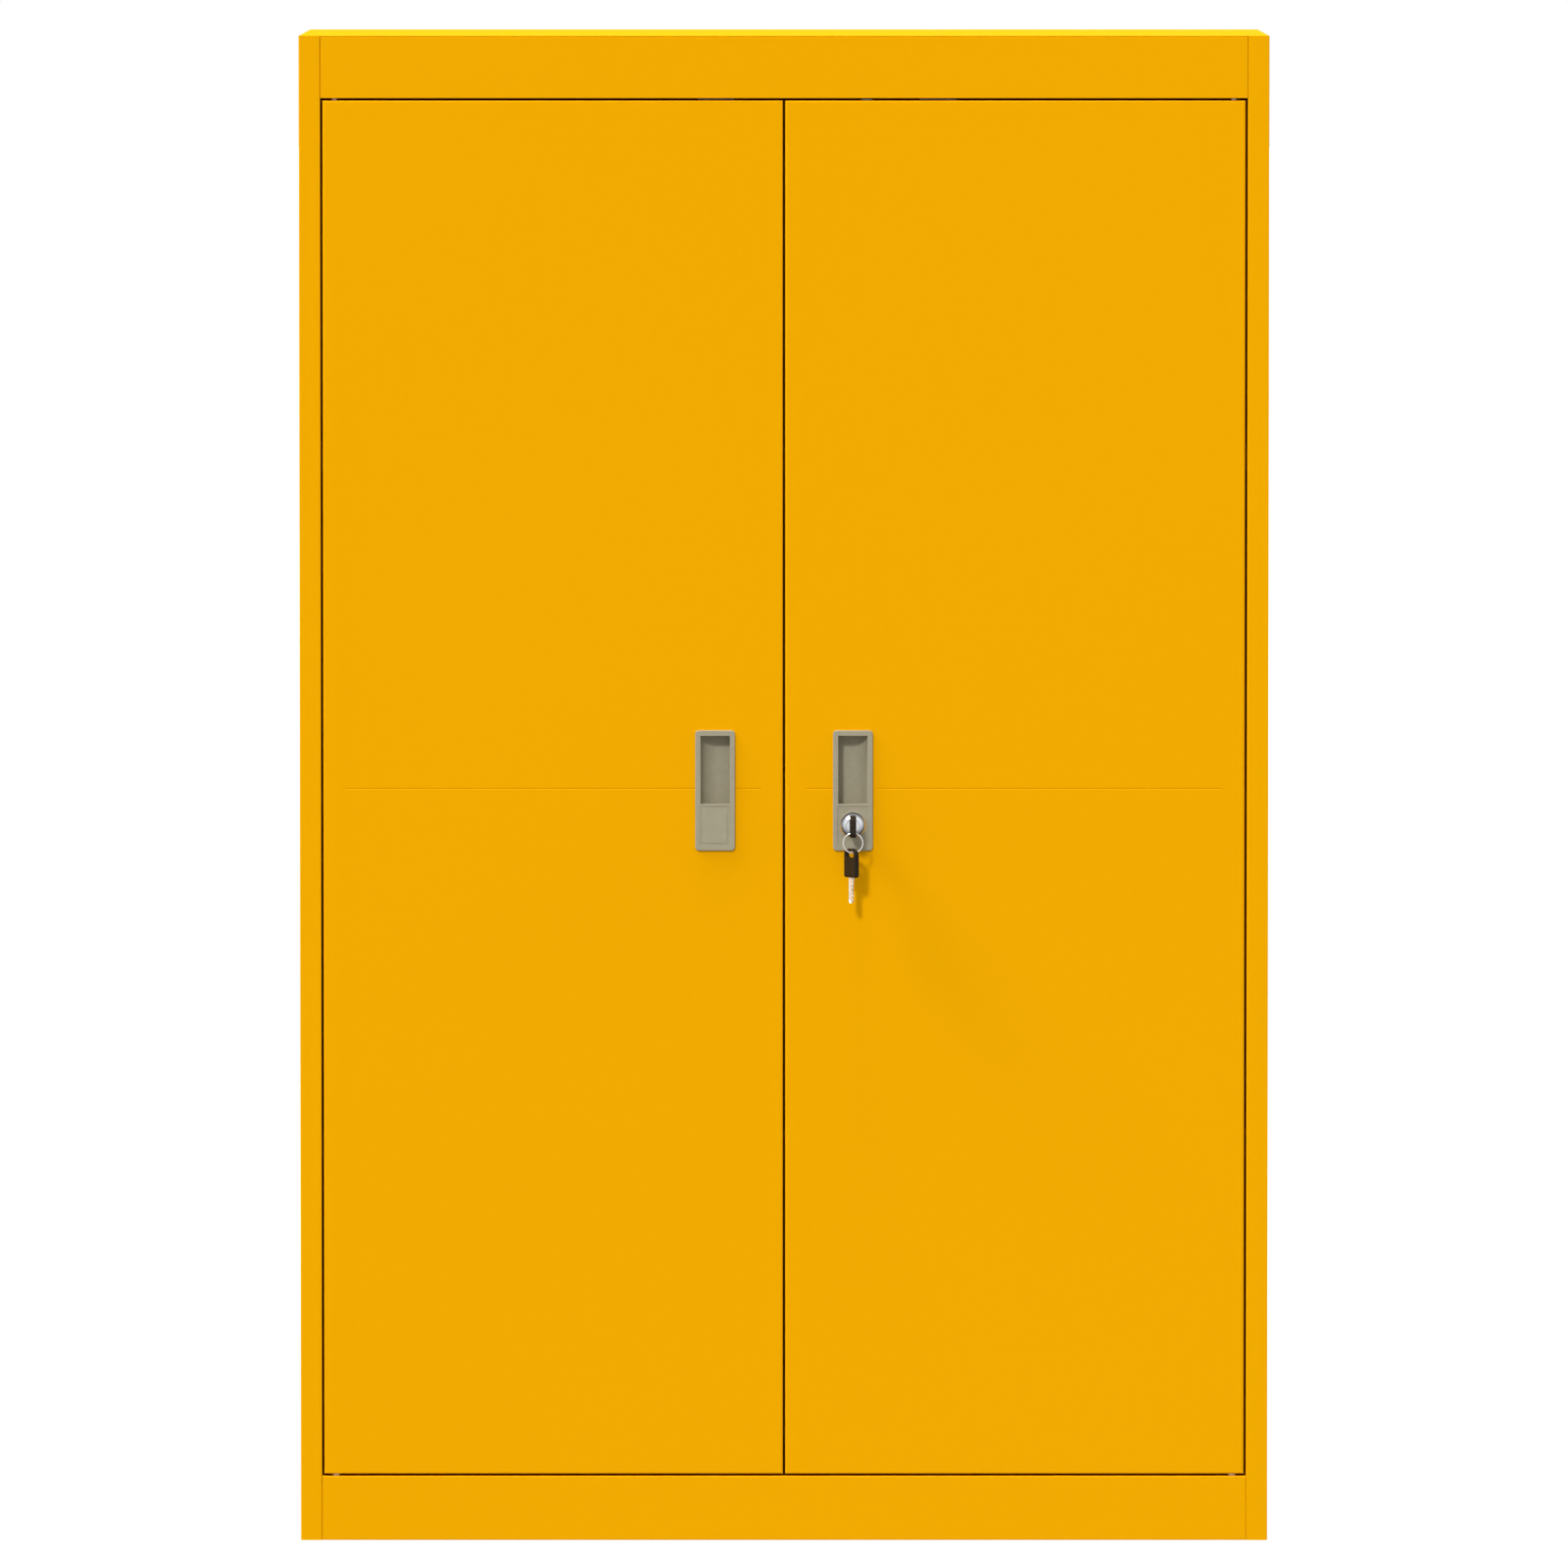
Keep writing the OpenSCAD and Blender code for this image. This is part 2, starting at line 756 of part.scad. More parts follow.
// Screw that holds the cam on the tang
module cam_screw() {
    head_y = cam_front + cam_t;
    head_h = cam_screw_head_h;
    color(steel_colour) at_lock() difference() {
        union() {
            bar_y(cam_screw_r, head_y - cam_screw_len, head_y + head_h / 2);
            bar_y(cam_screw_head_r, head_y, head_y + head_h);
        }
        for (turn = [0, 90]) {
            translate([0, head_y + head_h, 0]) rotate([0, turn, 0]) cube([6, head_h, 1], center = true);
        }
    }
}

// Upper locking rod: a flat bar, with a slotted eye round the cam's pin
module upper_rod() {
    pin = crank_r * [cos(crank_angle), sin(crank_angle)];
    bar_x = handle_x + rod_off;
    eye_z = lock_z + pin[1];
    slot_x = handle_x + (pin[0] + crank_r) / 2;
    low_y = front_y + rod_front;
    color(steel_colour) difference() {
        union() {
            block([bar_x - rod_w / 2, low_y, eye_z],
                  [bar_x + rod_w / 2, low_y + rod_t, door_high + rod_tip]);
            block([bar_x + rod_w / 2 - eye[0], low_y, eye_z - eye[1] / 2],
                  [bar_x + rod_w / 2, low_y + rod_t, eye_z + eye[1] / 2]);
        }
        translate([slot_x, low_y - 1, eye_z])
            rounded_plate(eye_slot[0], eye_slot[1], rod_t + 2, eye_slot[1] / 2 - 0.01);
    }
}

// Lower locking rod: the same bar turned over about the lock's axis, and long enough to reach the floor
module lower_rod() {
    pin = crank_r * [cos(crank_angle), sin(crank_angle)];
    bar_x = handle_x - rod_off;
    eye_z = lock_z - pin[1];
    slot_x = handle_x - (pin[0] + crank_r) / 2;
    low_y = front_y + rod_front;
    color(steel_colour) difference() {
        union() {
            block([bar_x - rod_w / 2, low_y, door_low - rod_tip],
                  [bar_x + rod_w / 2, low_y + rod_t, eye_z]);
            block([bar_x - rod_w / 2, low_y, eye_z - eye[1] / 2],
                  [bar_x - rod_w / 2 + eye[0], low_y + rod_t, eye_z + eye[1] / 2]);
        }
        translate([slot_x, low_y - 1, eye_z])
            rounded_plate(eye_slot[0], eye_slot[1], rod_t + 2, eye_slot[1] / 2 - 0.01);
    }
}

// Slot that a rod passes through: side 1 is the upper rod's and -1 the lower rod's
module rod_slot(side, low_z, high_z) {
    x = handle_x + side * rod_off;
    y = front_y + rod_front;
    block([x - rod_w / 2 - 1, y - 1, low_z], [x + rod_w / 2 + 1, y + rod_t + 1, high_z]);
}

// Keeper plate round a rod's slot, from one height up
module rod_keeper(side, low_z) {
    x = handle_x + side * rod_off;
    y = front_y + rod_front + rod_t / 2;
    color(steel_colour) difference() {
        block([x - keeper[0] / 2, y - keeper[1] / 2, low_z],
              [x + keeper[0] / 2, y + keeper[1] / 2, low_z + keeper[2]]);
        rod_slot(side, low_z - 1, low_z + keeper[2] + 1);
    }
}

// Guides on the door's channels that the rods slide through
module rod_guides() {
    low_y = front_y + door_t - channel_rest;
    rod_y = front_y + rod_front;
    for (z = guide_z) {
        side = z > lock_z ? 1 : -1;
        x = handle_x + side * rod_off;
        color(nylon_colour) difference() {
            block([x - guide[0] / 2, low_y, z - guide[2] / 2],
                  [x + guide[0] / 2, low_y + guide[1], z + guide[2] / 2]);
            block([x - rod_w / 2 - 0.3, rod_y - 0.3, z - guide[2]],
                  [x + rod_w / 2 + 0.3, rod_y + rod_t + 0.3, z + guide[2]]);
        }
    }
}

// Keys, drawn about the origin with the blade along -Y, the bow along +Y and the broad faces towards X

// Rounded slot through a bow, for the ring
module bow_slot(r, length) {
    for (z = [-1, 1]) {
        translate([0, 0, z * (length / 2 - r)]) rotate([0, 90, 0])
            cylinder(r = r, h = 20, center = true, $fn = 48);
    }
    cube([20, 2 * r, length - 2 * r], center = true);
}

// Bow in use: its far end is rounded
module key_bow() {
    slot_y = ring_y - (front_y + plug_front);
    color(black_colour) translate([handle_x, front_y + plug_front, lock_z]) difference() {
        translate([-bow_t / 2, -key_gap - bow_len / 2, 0]) rotate([90, 0, 90]) linear_extrude(bow_t)
            rounded_outline(bow_len, bow_w, 4);
        translate([0, slot_y, 0]) bow_slot(bow_slot_r, bow_slot_len);
        block([-blade_t / 2, -key_gap - 8, -blade_w / 2], [blade_t / 2, 0, blade_w / 2]);
    }
}

// Outline of a blade from its root at x = 0 to its tip, with its cuts along one edge
function blade_outline() =
    [
        [-8, blade_w / 2], [blade_len - 2.5, blade_w / 2], [blade_len, 0.8], [blade_len, -0.8],
        for (cut = [4 : -1 : 0]) each [
            [6.5 + 3.6 * cut, -blade_w / 2], [5.4 + 3.6 * cut, -blade_w / 2 + 0.9 + 0.6 * (cut % 3)],
            [4.2 + 3.6 * cut, -blade_w / 2 + 0.9 + 0.6 * (cut % 3)]
        ],
        [3, -blade_w / 2], [-8, -blade_w / 2]
    ];

// Blade in use, in the keyway
module key_blade() {
    color(chrome_colour) translate([handle_x - blade_t / 2, front_y + plug_front - key_gap, lock_z])
        rotate([90, 0, 90]) linear_extrude(blade_t) polygon(blade_outline());
}

// Ring through both bows
module key_ring() {
    color(chrome_colour) translate([handle_x, ring_y, ring_z]) rotate([90, 0, 0])
        rotate_extrude($fn = 96) translate([ring_r, 0]) circle(wire_r, $fn = 24);
}

// Places a shape, drawn with the spare bow's slot at the origin, where the spare key hangs off centre
module at_spare() {
    translate([handle_x, ring_y, spare_hole_top - spare_slot_r]) rotate([0, 0, spare_yaw])
        translate([spare_off, 0, 0]) children();
}

// Spare bow: broad faces towards its own Y, an arched top and a slot across it
module spare_bow() {
    w = spare_bow_size[0];
    t = spare_bow_size[1];
    h = spare_bow_size[2];
    top = spare_slot_r + bow_bridge;
    arch_r = w / 2 + 3;
    color(black_colour) at_spare() difference() {
        intersection() {
            translate([0, -t / 2, top - h / 2]) rounded_plate(w, h, t, 2);
            translate([0, 0, top - arch_r]) rotate([90, 0, 0]) linear_extrude(2 * t, center = true) {
                circle(arch_r, $fn = 96);
                translate([-w, -h]) square([2 * w, h]);
            }
        }
        rotate([0, 0, 90]) rotate([90, 0, 0]) bow_slot(spare_slot_r, spare_slot_len);
        block([-blade_w / 2, -blade_t / 2, top - h - 1], [blade_w / 2, blade_t / 2, top - h + 8]);
    }
}

// Spare blade, pointing down
module spare_blade() {
    top = spare_slot_r + bow_bridge - spare_bow_size[2];
    color(chrome_colour) at_spare() translate([0, -blade_t / 2, top]) rotate([-90, 90, 0])
        linear_extrude(blade_t) polygon(blade_outline());
}

// Assembly

on_side(-1) side_panel();  // left_side_panel
side_panel();  // right_side_panel
back_panel();
top_panel();
header_rail();
base_frame();
floor_panel();
on_side(-1) shelf_standard(standard_y[0]);  // front_left_standard
shelf_standard(standard_y[0]);  // front_right_standard
on_side(-1) shelf_standard(standard_y[1]);  // rear_left_standard
shelf_standard(standard_y[1]);  // rear_right_standard
shelf_clips(lower_shelf_z);  // lower_shelf_clips
shelf_clips(middle_shelf_z);  // middle_shelf_clips
shelf_clips(upper_shelf_z);  // upper_shelf_clips
shelf(lower_shelf_z);  // lower_shelf
shelf(middle_shelf_z);  // middle_shelf
shelf(upper_shelf_z);  // upper_shelf
on_side(-1) hinge_plate(soffit_z + sheet);  // left_header_hinge_plate
hinge_plate(soffit_z + sheet);  // right_header_hinge_plate
on_side(-1) hinge_plate(floor_z - hinge_plate_t);  // left_floor_hinge_plate
hinge_plate(floor_z - hinge_plate_t);  // right_floor_hinge_plate
rod_keeper(1, soffit_z + sheet);  // header_keeper
rod_keeper(-1, floor_z - keeper[2]);  // floor_keeper
catches(soffit_z - catch_size[2]);  // header_catches
catches(plinth_h);  // floor_catches
catch_screws();
top_screws();
base_screws();
on_side(-1) door_panel();  // left_door_panel
left_door_channel();
on_side(-1) door_brackets();  // left_door_brackets
left_handle();
on_side(-1) upper_pivot();  // left_upper_pivot
on_side(-1) lower_pivot();  // left_lower_pivot
strikes(left_catch_x);  // left_strikes
door_panel();  // right_door_panel
right_door_channels();
door_brackets();  // right_door_brackets
right_handle();
upper_pivot();  // right_upper_pivot
lower_pivot();  // right_lower_pivot
strikes(right_catch_x);  // right_strikes
rod_guides();
lock_housing();
lock_nut();
lock_plug();
lock_cam();
cam_screw();
upper_rod();
lower_rod();
key_bow();
key_blade();
key_ring();
spare_bow();
spare_blade();
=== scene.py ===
import json
import math

import bmesh
import bpy
from mathutils import Matrix, Vector


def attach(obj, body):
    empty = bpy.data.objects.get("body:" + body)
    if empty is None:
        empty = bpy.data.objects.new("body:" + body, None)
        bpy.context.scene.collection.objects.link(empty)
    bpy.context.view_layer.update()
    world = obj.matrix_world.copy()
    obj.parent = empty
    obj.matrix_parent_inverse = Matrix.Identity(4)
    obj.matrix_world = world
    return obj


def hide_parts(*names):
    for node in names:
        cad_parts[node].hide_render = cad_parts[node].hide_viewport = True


# Looks of a two-door steel cabinet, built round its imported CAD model. Everything is in metres,
# X across the width, Y from the front to the back and Z up.

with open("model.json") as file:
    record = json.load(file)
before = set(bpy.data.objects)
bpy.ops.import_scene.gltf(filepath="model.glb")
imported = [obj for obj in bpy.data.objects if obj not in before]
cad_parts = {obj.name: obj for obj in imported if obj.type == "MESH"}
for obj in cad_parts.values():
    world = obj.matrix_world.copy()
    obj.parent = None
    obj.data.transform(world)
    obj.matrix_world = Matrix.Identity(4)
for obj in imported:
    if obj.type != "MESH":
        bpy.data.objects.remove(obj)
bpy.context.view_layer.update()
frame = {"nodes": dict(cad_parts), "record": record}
nodes = frame["nodes"]
bodies = frame["record"]["behaviour"]["bodies"]
body_of_node = {node: body for body, members in bodies.items() for node in members}
slot_of_node = {part["node"]: part["material_slot"] for part in frame["record"]["subparts"]}

MM = 0.001

# Angles in degrees: edges that turn less are shaded smooth, and edges that turn more are rounded
SMOOTH_BELOW = 27
BEVEL_ABOVE = 40
ROUND_ABOVE = 30

# Distances in millimetres: corners this close are one corner, and points this close lie in a plane
SAME_CORNER = 0.002
IN_PLANE = 0.01

# Camera
CAMERA_Y = -16.2
CAMERA_Z = 1.641
CAMERA_TILT = math.radians(3.3465)
CAMERA_LENS = 396.1
SENSOR = 36

# The lock, the ring and the spare key, as part.scad places them
LOCK = Vector((64, -200, 667)) * MM
RING = Vector((64, -225, 651.8)) * MM
RING_R = 9.1
SPARE = Matrix.Translation(Vector((64, -225, 641.4)) * MM) @ Matrix.Rotation(math.radians(-55), 4, "Z")
SPARE_OFF = -2.4


def mm(*values):
    """A point given in millimetres, in metres."""
    return Vector(values) * MM


# Materials


class Shader:
    """A node material with a Principled shader, and short calls that add nodes to it."""

    def __init__(self, name):
        self.material = bpy.data.materials.new(name)
        self.material.use_nodes = True
        self.tree = self.material.node_tree
        self.main = self.tree.nodes["Principled BSDF"]
        self.coords = self.tree.nodes.new("ShaderNodeTexCoord").outputs["Object"]

    def node(self, kind, inputs=None, **settings):
        made = self.tree.nodes.new(kind)
        for key, value in settings.items():
            setattr(made, key, value)
        for key, value in (inputs or {}).items():
            self.put(made.inputs[key], value)
        return made

    def put(self, socket, value):
        if isinstance(value, bpy.types.NodeSocket):
            self.tree.links.new(value, socket)
        else:
            socket.default_value = value

    def set(self, **inputs):
        names = {key: key.replace("_", " ") for key in inputs}
        names["Specular_IOR_Level"] = "Specular IOR Level"
        for key, value in inputs.items():
            self.put(self.main.inputs[names[key]], value)

    def noise(self, scale, detail=2.0, roughness=0.5, stretch=None):
        """Noise with features of about one scale-th of a metre, and optionally stretched."""
        vector = self.coords
        if stretch:
            mapping = self.node("ShaderNodeMapping", {"Vector": self.coords, "Scale": stretch})
            vector = mapping.outputs["Vector"]
        return self.node(
            "ShaderNodeTexNoise",
            {"Vector": vector, "Scale": scale, "Detail": detail, "Roughness": roughness},
        ).outputs["Fac"]

    def span(self, value, low, high, from_low=0.3, from_high=0.7):
        """A value moved to the range from low to high."""
        return self.node(
            "ShaderNodeMapRange",
            {"Value": value, "From Min": from_low, "From Max": from_high, "To Min": low, "To Max": high},
        ).outputs["Result"]

    def mix(self, factor, a, b):
        made = self.node("ShaderNodeMix", data_type="RGBA")
        self.put(made.inputs["Factor"], factor)
        self.put(made.inputs["A"], (*a, 1) if isinstance(a, tuple) else a)
        self.put(made.inputs["B"], (*b, 1) if isinstance(b, tuple) else b)
        return made.outputs["Result"]

    def bump(self, height, distance, strength=1.0, below=None):
        made = self.node("ShaderNodeBump", {"Height": height, "Distance": distance, "Strength": strength})
        if below is not None:
            self.put(made.inputs["Normal"], below)
        return made.outputs["Normal"]


def powder_coat():
    """Orange-yellow powder coat: satin, with fine orange peel and a faint unevenness in shade."""
    s = Shader("body_paint")
    cloud = s.noise(2.2, 3.0)
    peel = s.noise(420.0, 1.5)
    grain = s.noise(2400.0, 2.0)
    s.set(
        Base_Color=s.mix(s.span(cloud, 0.0, 1.0), (0.869, 0.3955, 0.0004), (0.875, 0.3985, 0.0006)),
        Roughness=s.span(peel, 0.40, 0.48),
        Normal=s.bump(grain, 0.006 * MM, 0.5, s.bump(peel, 0.03 * MM, 0.5)),
        Specular_IOR_Level=0.22,
        Specular_Tint=(1.0, 0.70, 0.02, 1.0),
    )
    return s.material


def handle_plastic():
    """Grey-brown moulded plastic with a fine matt grain."""
    s = Shader("handle_plastic")
    mottle = s.noise(160.0, 3.0)
    grain = s.noise(2600.0, 3.0, 0.6)
    s.set(
        Base_Color=s.mix(s.span(mottle, 0.0, 1.0), (0.345, 0.310, 0.213), (0.371, 0.333, 0.231)),
        Roughness=s.span(grain, 0.46, 0.60),
        Normal=s.bump(grain, 0.02 * MM, 0.55),
        Specular_IOR_Level=0.35,
    )
    return s.material


def key_plastic():
    """Near-black moulded plastic, a little glossy."""
    s = Shader("key_plastic")
    mottle = s.noise(300.0, 2.0)
    grain = s.noise(3200.0, 2.0)
    s.set(
        Base_Color=s.mix(s.span(mottle, 0.0, 1.0), (0.017, 0.012, 0.007), (0.023, 0.017, 0.010)),
        Roughness=s.span(grain, 0.30, 0.42),
        Normal=s.bump(grain, 0.008 * MM, 0.5),
        Specular_IOR_Level=0.16,
    )
    return s.material


def nylon():
    """Off-white nylon, slightly translucent."""
    s = Shader("nylon")
    mottle = s.noise(240.0, 3.0)
    grain = s.noise(1800.0, 2.0)
    s.set(
        Base_Color=s.mix(s.span(mottle, 0.0, 1.0), (0.90, 0.87, 0.80), (0.94, 0.92, 0.86)),
        Roughness=s.span(grain, 0.36, 0.50),
        Normal=s.bump(grain, 0.01 * MM, 0.4),
        Subsurface_Weight=0.15,
        Subsurface_Scale=0.8 * MM,
    )
    return s.material


def metal(name, dark, light, roughness, scale, stretch=None, depth=0.004, patches=0.0, metallic=1.0):
    """Bare or plated metal: brushed if stretched, spangled with patches, satin if partly metallic."""
    s = Shader(name)
    marks = s.noise(scale, 3.0, 0.6, stretch)
    tone = s.span(s.noise(scale * 0.12, 3.0), 0.0, 1.0)
    if patches:
        cells = s.node("ShaderNodeTexVoronoi", {"Vector": s.coords, "Scale": patches}).outputs["Color"]
        tone = s.span(s.node("ShaderNodeSeparateColor", {"Color": cells}).outputs[0], 0.0, 1.0, 0.0, 1.0)
    s.set(
        Base_Color=s.mix(tone, dark, light),
        Metallic=metallic,
        Roughness=s.span(marks, *roughness),
        Normal=s.bump(marks, depth * MM, 0.5),
    )
    return s.material


MATERIALS = {
    "body_paint": powder_coat(),
    "handle_plastic": handle_plastic(),
    "key_plastic": key_plastic(),
    "nylon": nylon(),
    "chrome": metal("chrome", (0.80, 0.81, 0.83), (0.86, 0.87, 0.89), (0.05, 0.11), 500.0, depth=0.001),
    "nickel": metal(
        "nickel", (0.84, 0.81, 0.74), (0.93, 0.90, 0.84), (0.20, 0.34), 900.0, (1.0, 1.0, 0.12),
        metallic=0.6,
    ),
    "zinc": metal("zinc", (0.50, 0.52, 0.54), (0.64, 0.66, 0.68), (0.28, 0.44), 700.0, patches=140.0),
}


# Modifiers and shading of the CAD nodes


def smooth_by_angle():
    """A modifier's node group that shades faces smooth and keeps edges that turn more sharp."""
    group = bpy.data.node_groups.new("smooth_by_angle", "GeometryNodeTree")
    group.interface.new_socket("Geometry", in_out="INPUT", socket_type="NodeSocketGeometry")
    group.interface.new_socket("Geometry", in_out="OUTPUT", socket_type="NodeSocketGeometry")
    kinds = (
        "NodeGroupInput", "NodeGroupOutput", "GeometryNodeInputMeshEdgeAngle", "FunctionNodeCompare",
    )
    made = {kind: group.nodes.new(kind) for kind in kinds}
    faces, edges = (group.nodes.new("GeometryNodeSetShadeSmooth") for _ in range(2))
    edges.domain = "EDGE"
    compare = made["FunctionNodeCompare"]
    compare.operation = "LESS_THAN"
    compare.inputs["B"].default_value = math.radians(SMOOTH_BELOW)
    link = group.links.new
    link(made["NodeGroupInput"].outputs[0], faces.inputs["Geometry"])
    link(faces.outputs[0], edges.inputs["Geometry"])
    link(made["GeometryNodeInputMeshEdgeAngle"].outputs["Unsigned Angle"], compare.inputs["A"])
    link(compare.outputs["Result"], edges.inputs["Shade Smooth"])
    link(edges.outputs[0], made["NodeGroupOutput"].inputs[0])
    return group


SMOOTH = smooth_by_angle()


def smooth(obj):
    """Smooth shading that bends only over the narrow faces, so that broad flat faces stay flat."""
    obj.modifiers.new("smooth", "NODES").node_group = SMOOTH
    flat = obj.modifiers.new("flat", "WEIGHTED_NORMAL")
    flat.mode = "FACE_AREA"
    flat.weight = 100
    flat.keep_sharp = True


def soften(obj, width):
    """Joins the split corners of an imported mesh and rounds its edges."""
    obj.modifiers.new("weld", "WELD").merge_threshold = SAME_CORNER * MM
    if width:
        bevel = obj.modifiers.new("round", "BEVEL")
        bevel.width = width * MM
        bevel.segments = 3
        bevel.limit_method = "ANGLE"
        bevel.angle_limit = math.radians(BEVEL_ABOVE)
        bevel.use_clamp_overlap = True
    smooth(obj)


BEVELS = {
    "catches": 0.5, "rod_guides": 0.5, "hinge_plate": 0.3, "brackets": 0.3, "keeper": 0.3, "strikes": 0.2,
    "rod": 0.3, "nut": 0.4, "cam": 0.25, "clips": 0.2, "screws": 0.2, "shelf": 0.35, "top_panel": 0.3,
    "plug": 0.2, "screw": 0.2, "channel": 0.3, "channels": 0.3,
}

for name, obj in nodes.items():
    for index in range(len(obj.material_slots)):
        obj.material_slots[index].material = MATERIALS[slot_of_node[name]]
    width = next((w for part, w in BEVELS.items() if name.endswith(part)), 0)
    soften(obj, width)


# Pieces made here


def piece(name, made, node):
    """Turns a bmesh into a piece that stands for a CAD node and rides on its body."""
    bmesh.ops.recalc_face_normals(made, faces=made.faces)
    mesh = bpy.data.meshes.new(name)
    made.to_mesh(mesh)
    made.free()
    obj = bpy.data.objects.new(name, mesh)
    bpy.context.scene.collection.objects.link(obj)
    slot = slot_of_node[node]
    mesh.materials.append(MATERIALS[slot])
    smooth(obj)
    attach(obj, body_of_node[node])
    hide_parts(node)


def cad_copy(node):
    """A CAD node's mesh as a bmesh, with its corners joined and its flat faces whole."""
    flat = math.radians(0.6)
    made = bmesh.new()
    made.from_mesh(nodes[node].data)
    bmesh.ops.remove_doubles(made, verts=made.verts, dist=SAME_CORNER * MM)
    bmesh.ops.dissolve_limit(made, angle_limit=flat, verts=made.verts, edges=made.edges)
    return made


def round_edges(made, width, segments, wanted):
    """Bevels the sharp edges that the test wants."""
    sharp = math.radians(ROUND_ABOVE)
    edges = [e for e in made.edges if len(e.link_faces) == 2 and e.calc_face_angle(0) > sharp and wanted(e)]
    bmesh.ops.bevel(
        made, geom=edges, offset=width * MM, segments=segments, profile=0.5, affect="EDGES",
        clamp_overlap=True,
    )


def in_faces(edge, point, way, half):
    """Whether an edge lies in either of two planes across a way, half a thickness from a point."""
    return all(abs(abs((v.co - point).dot(way)) - half * MM) < IN_PLANE * MM for v in edge.verts)


def skin(made, loops):
    """Adds the faces between each loop of corners and the next."""
    for near, far in zip(loops, loops[1:]):
        for k in range(len(near)):
            n = (k + 1) % len(near)
            made.faces.new((near[k], near[n], far[n], far[k]))


def lathe(made, profile, centre, segments=96):
    """Adds a ring turned about the Y axis through centre, from its (radius, y) in millimetres."""
    turns = [2 * math.pi * k / segments for k in range(segments)]
    loops = []
    for radius, y in profile:
        spots = [mm(radius * math.cos(t), y, radius * math.sin(t)) for t in turns]
        loops.append([made.verts.new(centre + spot) for spot in spots])
    skin(made, loops + loops[:1])
    return made


def handles():
    """Both handles: the CAD's shape with its rim, recess and panels rounded as moulded plastic is."""
    rim_round, rim_width, small_round, shown_depth, on_face = 0.8, 1.2, 0.22, 16, 0.05
    for node, name in (("left_handle", "left_pull"), ("right_handle", "right_pull")):
        made = cad_copy(node)
        face = min(v.co.y for v in made.verts)
        low_x, high_x = min(v.co.x for v in made.verts), max(v.co.x for v in made.verts)
        low_z, high_z = min(v.co.z for v in made.verts), max(v.co.z for v in made.verts)

        def on_rim(e):
            sides = [
                min(abs(v.co.x - low_x), abs(v.co.x - high_x), abs(v.co.z - low_z), abs(v.co.z - high_z))
                for v in e.verts
            ]
            return all(abs(v.co.y - face) < on_face * MM for v in e.verts) and max(sides) < rim_width * MM

        rims = {e for e in made.edges if on_rim(e)}
        round_edges(made, rim_round, 4, lambda e: e in rims)
        round_edges(made, small_round, 3, lambda e: all(v.co.y < face + shown_depth * MM for v in e.verts))
        piece(name, made, node)


def lock_dome():
    """Chrome lock face: a low dome with a bevelled rim and a lip round the plug, and its barrel."""
    base, rim, bore, bevel, steps = -2.45, 12.0, 6.2, 1.1, 28
    barrel, back, seat, undercut, rim_height = 9, 17, 0.2, 0.3, 0.5
    bevel_slope, outer_slope, slope_fall = 46, 42, 28
    lip_width, lip_flat, lip_drop = 0.5, 0.2, 0.25
    foot, lip = base + seat, bore + lip_width
    radius, y = rim, base - rim_height
    profile = [(bore, back), (barrel, back), (barrel, foot), (rim - undercut, foot), (rim, base)]
    profile.append((radius, y))
    stride = (rim - lip) / steps
    for k in range(steps):
        past = k * stride - bevel
        slope = bevel_slope if past < 0 else outer_slope - slope_fall * past / (rim - lip - bevel)
        radius -= stride
        y -= stride * math.tan(math.radians(slope))
        profile.append((radius, y))
    profile += [(bore + lip_flat, y), (bore, y + lip_drop)]
    piece("lock_dome", lathe(bmesh.new(), profile, LOCK), "lock_housing")


def bows():
    """Plastic bows of both keys, the CAD's outlines with soft moulded edges."""
    half, spare_half = 3, 2.4
    edge_round, spare_round = 1.3, 0.9
    made = cad_copy("key_bow")
    round_edges(made, edge_round, 5, lambda e: in_faces(e, LOCK, Vector((1, 0, 0)), half))
    piece("key_grip", made, "key_bow")
    across, centre = SPARE.to_3x3() @ Vector((0, 1, 0)), SPARE.to_translation()
    made = cad_copy("spare_bow")
    round_edges(made, spare_round, 4, lambda e: in_faces(e, centre, across, spare_half))
    piece("spare_grip", made, "spare_bow")


def blade(name, node, place):
    """A key blade along its own X, with five cuts in its lower edge and a groove down each side."""
    half_w, half_t, length, root, edge = 3.25, 1.0, 24.0, -7.5, 0.22
    cuts, pitch, shallow, deeper = 5, 3.6, 0.9, 0.6
    first_cut, floor_from, floor_to, cut_end = 3.0, 4.2, 5.4, 6.5
    tip_from, tip_rise, tip_half, taper_from = 21.5, 0.45, 0.8, 0.2
    groove, groove_top, floor_top, floor_low = 0.7, 2.4, 1.5, 0.9
    rows = [(root, half_w, -half_w), (first_cut, half_w, -half_w)]
    for cut in range(cuts):
        depth = shallow + deeper * (cut % 3)
        start = pitch * cut
        rows += [(start + x, half_w, depth - half_w) for x in (floor_from, floor_to)]
        rows.append((start + cut_end, half_w, -half_w))
    rows += [(tip_from, half_w, -half_w + tip_rise), (length, tip_half, -tip_half)]
    made = bmesh.new()
    sections = []
    for x, upper, lower in rows:
        taper = min(1.0, (upper + taper_from) / half_w)
        side = [
            (upper, half_t - edge), (upper - edge, half_t), (groove_top * taper, half_t),
            (floor_top * taper, half_t - groove), (floor_low * taper, half_t - groove), (0, half_t),
            (lower + edge, half_t), (lower, half_t - edge),
        ]
        loop = side + [(y, -t) for y, t in reversed(side)]
        sections.append([made.verts.new(place @ mm(x, y, t)) for y, t in loop])
    skin(made, sections)
    made.faces.new(sections[0])
    made.faces.new(sections[-1])
    piece(name, made, node)


